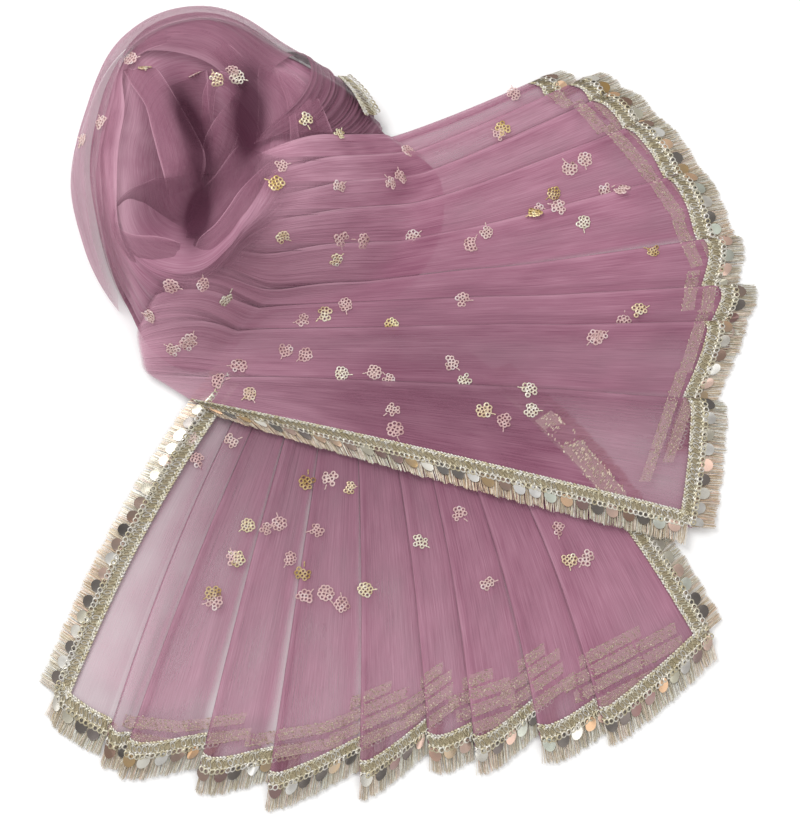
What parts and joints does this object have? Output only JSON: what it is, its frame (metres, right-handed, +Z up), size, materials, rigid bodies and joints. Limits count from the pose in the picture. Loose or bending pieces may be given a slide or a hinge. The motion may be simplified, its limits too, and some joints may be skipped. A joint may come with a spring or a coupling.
{
  "type": "net dupatta stole",
  "caption": "Sheer net dupatta stole heaped in a loop, with two knife-pleated tails and a braid, sequin and fringe trim.",
  "frame": {"origin": "on the table under the middle of the whole outline", "axes": "+Z up from the table, +X to the right and +Y away from the viewer, with the lower tail towards -Y"},
  "size_m": [0.443, 0.5166, 0.0618],
  "materials": {
    "soft_net": "sheer lilac net",
    "layered_net": "many layers of lilac net",
    "metallic_trim": "champagne metallic thread"
  },
  "bodies": {
    "root": {"net_lower_tail": "soft_net", "net_upper_tail": "soft_net", "net_turn_shoulder": "soft_net", "net_turn_top": "soft_net", "net_turn_left": "soft_net", "net_veil": "soft_net", "net_rose_band": "soft_net", "net_rose_cup": "soft_net", "net_rose_lip": "soft_net", "net_rose_fold_inner": "soft_net", "net_rose_fold_outer": "soft_net", "net_rose_bud": "soft_net", "hidden_layers": "layered_net", "trim_lower_hem_01": "metallic_trim", "trim_lower_hem_02": "metallic_trim", "trim_lower_hem_03": "metallic_trim", "trim_lower_hem_04": "metallic_trim", "trim_lower_hem_05": "metallic_trim", "trim_lower_hem_06": "metallic_trim", "trim_lower_hem_07": "metallic_trim", "trim_lower_hem_08": "metallic_trim", "trim_lower_hem_09": "metallic_trim", "trim_lower_hem_10": "metallic_trim", "trim_upper_hem_01": "metallic_trim", "trim_upper_hem_02": "metallic_trim", "trim_upper_hem_03": "metallic_trim", "trim_upper_hem_04": "metallic_trim", "trim_upper_hem_05": "metallic_trim", "trim_upper_hem_06": "metallic_trim", "trim_upper_hem_07": "metallic_trim", "trim_upper_hem_08": "metallic_trim", "trim_upper_hem_09": "metallic_trim", "trim_lower_left": "metallic_trim", "trim_lower_right": "metallic_trim", "trim_upper_side": "metallic_trim", "trim_shoulder": "metallic_trim"}
  },
  "joints": []
}
